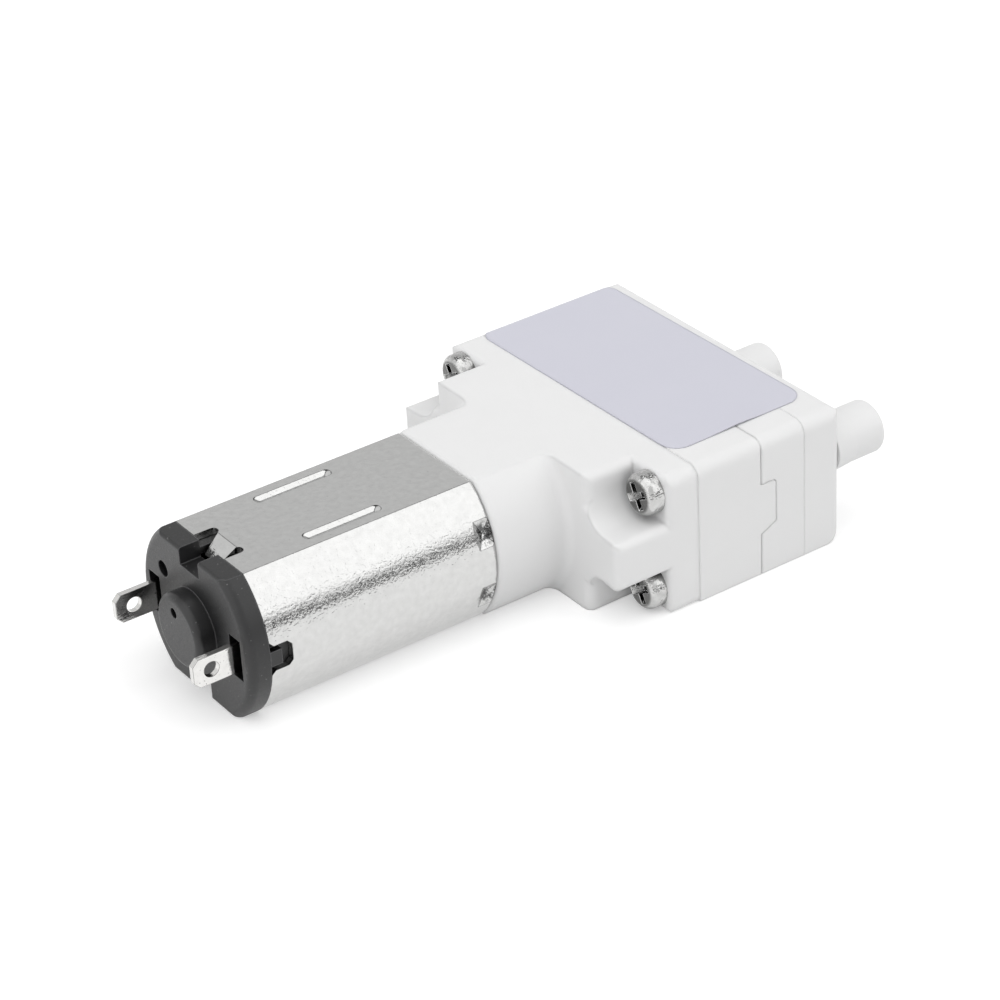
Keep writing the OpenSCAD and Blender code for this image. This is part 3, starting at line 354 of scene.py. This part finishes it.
finishes = {
    # bright nickel plate on drawn steel: a satin mirror with a sandy orange-peel grain, a painted dark
    # line along its rounded edges and painted shade at the stake dents
    "nickelPlate": {"colour": "D6D6D5", "shade": "C2C2C1", "metal": 1.0, "cloud": 0.55, "grain": 0.23,
                    "rough": (0.07, 0.15), "bump": 0.15, "edge": 0.11, "bevelRays": 8,
                    "paintedEdge": "1C1C1D", "paintedEdgeAt": 0.965,
                    "pits": {"grain": 0.28, "depth": 0.013, "strength": 0.45},
                    "dentShading": {"axisHeight": 6.05, "at": (4.52, 7.15, 2.75), "reach": 1.2, "grain": 0.4,
                              "colour": "5A5A5A"}},
    # glass-filled nylon, moulded: charcoal satin, with a painted highlight where its edges catch the
    # light, painted near-black shade in its recesses and pale dust specks
    "charcoalNylon": {"colour": "1E1E1F", "shade": "171718", "cloud": 1.5, "grain": 0.09,
                      "rough": (0.30, 0.48), "bump": 0.25, "edge": 0.12, "paintedEdge": "5A5A5C", "ior": 1.55,
                      "recessShade": "060606", "recessShadeDepth": 1.4,
                      "specks": {"colour": "6E6E6E", "grain": 0.2, "above": 0.71}},
    # bright tin plate on stamped brass: soft white metal with a faint rolling grain, grey specks and a
    # painted darker reflection along its rounded edges
    "tinPlate": {"colour": "E6E5E3", "shade": "D6D5D3", "metal": 1.0, "cloud": 0.5, "grain": 0.2,
                 "stretch": (0.3, 1, 1), "rough": (0.07, 0.15), "bump": 0.12, "edge": 0.09,
                 "bevelRays": 8, "paintedEdge": "7E7E7C", "paintedEdgeAt": 0.84,
                 "specks": {"colour": "8A8A88", "grain": 0.2, "above": 0.68}},
    # nickel-plated steel, cold-headed and driven: a painted highlight round the rim, a painted darker
    # reflection on the face turned towards -X and painted shade in the recess
    "screwNickel": {"colour": "D8D8D7", "shade": "A2A2A1", "driven": "6E6E6D", "drivenAxis": (-1, 0, 0),
                    "metal": 1.0, "cloud": 0.6, "grain": 0.4,
                    "rough": (0.06, 0.18), "bump": 0.42, "edge": 0.07, "bevelRays": 8, "paintedEdge": "F4F4F4",
                    "recessShade": "050505", "recessShadeDepth": 1.1},
    # white ABS, moulded in a fine-eroded tool: even satin, almost no colour
    "whiteAbs": {"colour": "E5E5E5", "shade": "E2E2E2", "cloud": 4.0, "grain": 0.12,
                 "rough": (0.38, 0.52), "bump": 0.10, "edge": 0.28, "bevelRays": 12, "ior": 1.53},
    # the same plastic on the motor mount, whose mould has softer corners
    "softWhiteAbs": {"colour": "E5E5E5", "shade": "E2E2E2", "cloud": 4.0, "grain": 0.12,
                     "rough": (0.38, 0.52), "bump": 0.10, "edge": 0.6, "bevelRays": 16, "ior": 1.53},
    # blank coated label film: cool grey-lilac, flat sheen, with a painted dark shadow line at its edges
    "labelFilm": {"colour": "CACAD4", "shade": "C7C7D2", "cloud": 5.0, "grain": 0.1,
                  "rough": (0.34, 0.44), "bump": 0.05, "edge": 0.05, "paintedEdge": "7C7C84"},
    # phosphor bronze spring leaf, rolled: warm metal with lengthwise grain
    "springBronze": {"colour": "D9A066", "shade": "C98F58", "metal": 1.0, "cloud": 0.6, "grain": 0.05,
                     "stretch": (1, 1, 0.1), "rough": (0.2, 0.35), "bump": 0.2},
    # sintered ferrite, ground: dull near-black ceramic
    "ferrite": {"colour": "3A393B", "shade": "313032", "cloud": 0.8, "grain": 0.08,
                "rough": (0.6, 0.8), "bump": 0.4},
    # oil-filled sintered bronze: porous brown-gold
    "sinteredBronze": {"colour": "A98346", "shade": "8C6A38", "metal": 1.0, "cloud": 0.3, "grain": 0.06,
                       "rough": (0.4, 0.6), "bump": 0.5},
    # ground and polished steel
    "groundSteel": {"colour": "CBCBCC", "shade": "BFBFC0", "metal": 1.0, "cloud": 0.6, "grain": 0.05,
                    "stretch": (1, 0.08, 0.08), "rough": (0.15, 0.28), "bump": 0.2},
    # stacked silicon-steel sheets, lacquered: dark steel with a line at each 0.35 mm sheet
    "coreSteel": {"colour": "8D8F94", "shade": "7C7E83", "metal": 1.0, "cloud": 0.8, "grain": 0.08,
                  "rough": (0.35, 0.5), "bump": 0.5, "lines": 0.35, "linesAlong": "X", "linesDepth": 1.5},
    # enamelled copper wire, 0.2 mm: glossy orange-brown turns
    "enamelWire": {"colour": "B4571F", "shade": "9C4416", "metal": 1.0, "cloud": 0.5, "grain": 0.1,
                   "rough": (0.18, 0.3), "bump": 0.9,
                   "lines": 0.2, "linesAlong": "DIAGONAL", "linesDepth": 3.0},
    # phenolic moulding: dark brown, semi-matt
    "phenolic": {"colour": "5C3323", "shade": "4C2A1C", "cloud": 0.6, "grain": 0.06,
                 "rough": (0.4, 0.55), "bump": 0.2},
    # turned commutator copper
    "turnedCopper": {"colour": "DB9A70", "shade": "C98760", "metal": 1.0, "cloud": 0.4, "grain": 0.05,
                     "stretch": (1, 0.1, 0.1), "rough": (0.2, 0.32), "bump": 0.25},
    # natural nylon: cream and slightly glossy
    "naturalNylon": {"colour": "E3E1D6", "shade": "DCD9CC", "cloud": 0.8, "grain": 0.08,
                     "rough": (0.35, 0.5), "bump": 0.1},
    # white acetal: dense, waxy white
    "whiteAcetal": {"colour": "E9E9E4", "shade": "E2E2DC", "cloud": 1.5, "grain": 0.08,
                    "rough": (0.28, 0.4), "bump": 0.1},
    # moulded black rubber: matt with a grey bloom
    "blackRubber": {"colour": "2C2C2D", "shade": "353536", "cloud": 0.9, "grain": 0.1,
                    "rough": (0.6, 0.8), "bump": 0.3},
    # red silicone sheet, punched
    "redSilicone": {"colour": "A0503C", "shade": "914533", "cloud": 0.5, "grain": 0.08,
                    "rough": (0.45, 0.6), "bump": 0.15},
}
material = {name: finish(name, look) for name, look in finishes.items()}

wears = {
    "nickelPlate": ["motor_can"],
    "charcoalNylon": ["motor_end_cap"],
    "tinPlate": ["terminal_left", "terminal_right"],
    "screwNickel": ["case_screws", "motor_screws"],
    "softWhiteAbs": ["motor_mount"],
    "whiteAbs": ["diaphragm_block", "valve_plate", "port_cover"],
    "labelFilm": ["label"],
    "springBronze": ["brush_left", "brush_right"],
    "ferrite": ["magnet_left", "magnet_right"],
    "sinteredBronze": ["front_bearing", "rear_bearing"],
    "groundSteel": ["motor_shaft", "drive_pin"],
    "coreSteel": ["armature_core"],
    "enamelWire": ["armature_windings"],
    "phenolic": ["commutator_core"],
    "turnedCopper": ["commutator_segments"],
    "naturalNylon": ["thrust_washers"],
    "whiteAcetal": ["eccentric_hub", "swing_frame"],
    "blackRubber": ["twin_diaphragm", "cover_gasket"],
    "redSilicone": ["inlet_valve_left", "inlet_valve_right", "outlet_valve_left", "outlet_valve_right"],
}
for name, wearers in wears.items():
    for wearer in wearers:
        slots = nodes[wearer].data.materials
        if not slots:
            slots.append(material[name])
        for i in range(len(slots)):
            slots[i] = material[name]
print("finishes assigned")

# blank label film across the head: it follows the rounded far edge and has lifted a little at a seam
labelFilm = {
    "centre": (16.725, 1.35),  # mm, as are all lengths here
    "width": 13.2,
    "length": 25.4,
    "corner": 1.6,
    "turn": 0.6,  # degrees
    "thick": 0.07,
    "bed": 12.105,  # top of the head with a trace of glue
    "edgeStart": 13.2,  # where the head's far edge begins to round
    "edgeRadius": 1.1,
    "liftAt": (16.6, -11.35),
    "lift": 0.11,
    "liftReach": (1.7, 1.0),
    "grid": (121, 61),
}


def makeLabel(look):
    # rows run along y = L/2 * sin(pi/2 * t); each is as wide as the rounded rectangle is there.
    # The height is the head's top, less the fall of the rounded edge r - sqrt(r*r - d*d), plus a
    # bell-shaped lift
    along, across = (np.linspace(-1, 1, n) for n in look["grid"])
    t, u = np.meshgrid(along, across, indexing="ij")
    half, corner = look["length"] / 2, look["corner"]
    along = half * np.sin(np.pi / 2 * t)
    past = np.clip(np.abs(along) - (half - corner), 0, corner)
    across = u * (look["width"] / 2 - corner + np.sqrt(corner ** 2 - past ** 2))
    turn = math.radians(look["turn"])
    x = look["centre"][0] + across * math.cos(turn) - along * math.sin(turn)
    y = look["centre"][1] + across * math.sin(turn) + along * math.cos(turn)
    over = np.clip(y - look["edgeStart"], 0, look["edgeRadius"] * 0.95)
    fall = look["edgeRadius"] - np.sqrt(look["edgeRadius"] ** 2 - over ** 2)
    bell = np.exp(-((x - look["liftAt"][0]) / look["liftReach"][0]) ** 2
                  - ((y - look["liftAt"][1]) / look["liftReach"][1]) ** 2)
    points = np.stack([x, y, look["bed"] - fall + look["lift"] * bell], -1).reshape(-1, 3) * mm
    rows, columns = t.shape
    first = (np.arange(rows - 1)[:, None] * columns + np.arange(columns - 1)).ravel()
    faces = np.stack([first, first + 1, first + columns + 1, first + columns], 1)
    mesh = bpy.data.meshes.new("labelFilm")
    mesh.from_pydata(points.tolist(), [], faces.tolist())
    mesh.polygons.foreach_set("use_smooth", np.ones(len(faces), dtype=bool))
    made = bpy.data.objects.new("labelFilm", mesh)
    bpy.context.scene.collection.objects.link(made)
    mesh.materials.append(material["labelFilm"])
    wall = made.modifiers.new("thickness", "SOLIDIFY")
    wall.thickness = look["thick"] * mm
    wall.offset = 1
    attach(made, "pump_body")
    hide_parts("label")


makeLabel(labelFilm)
print("label laid")
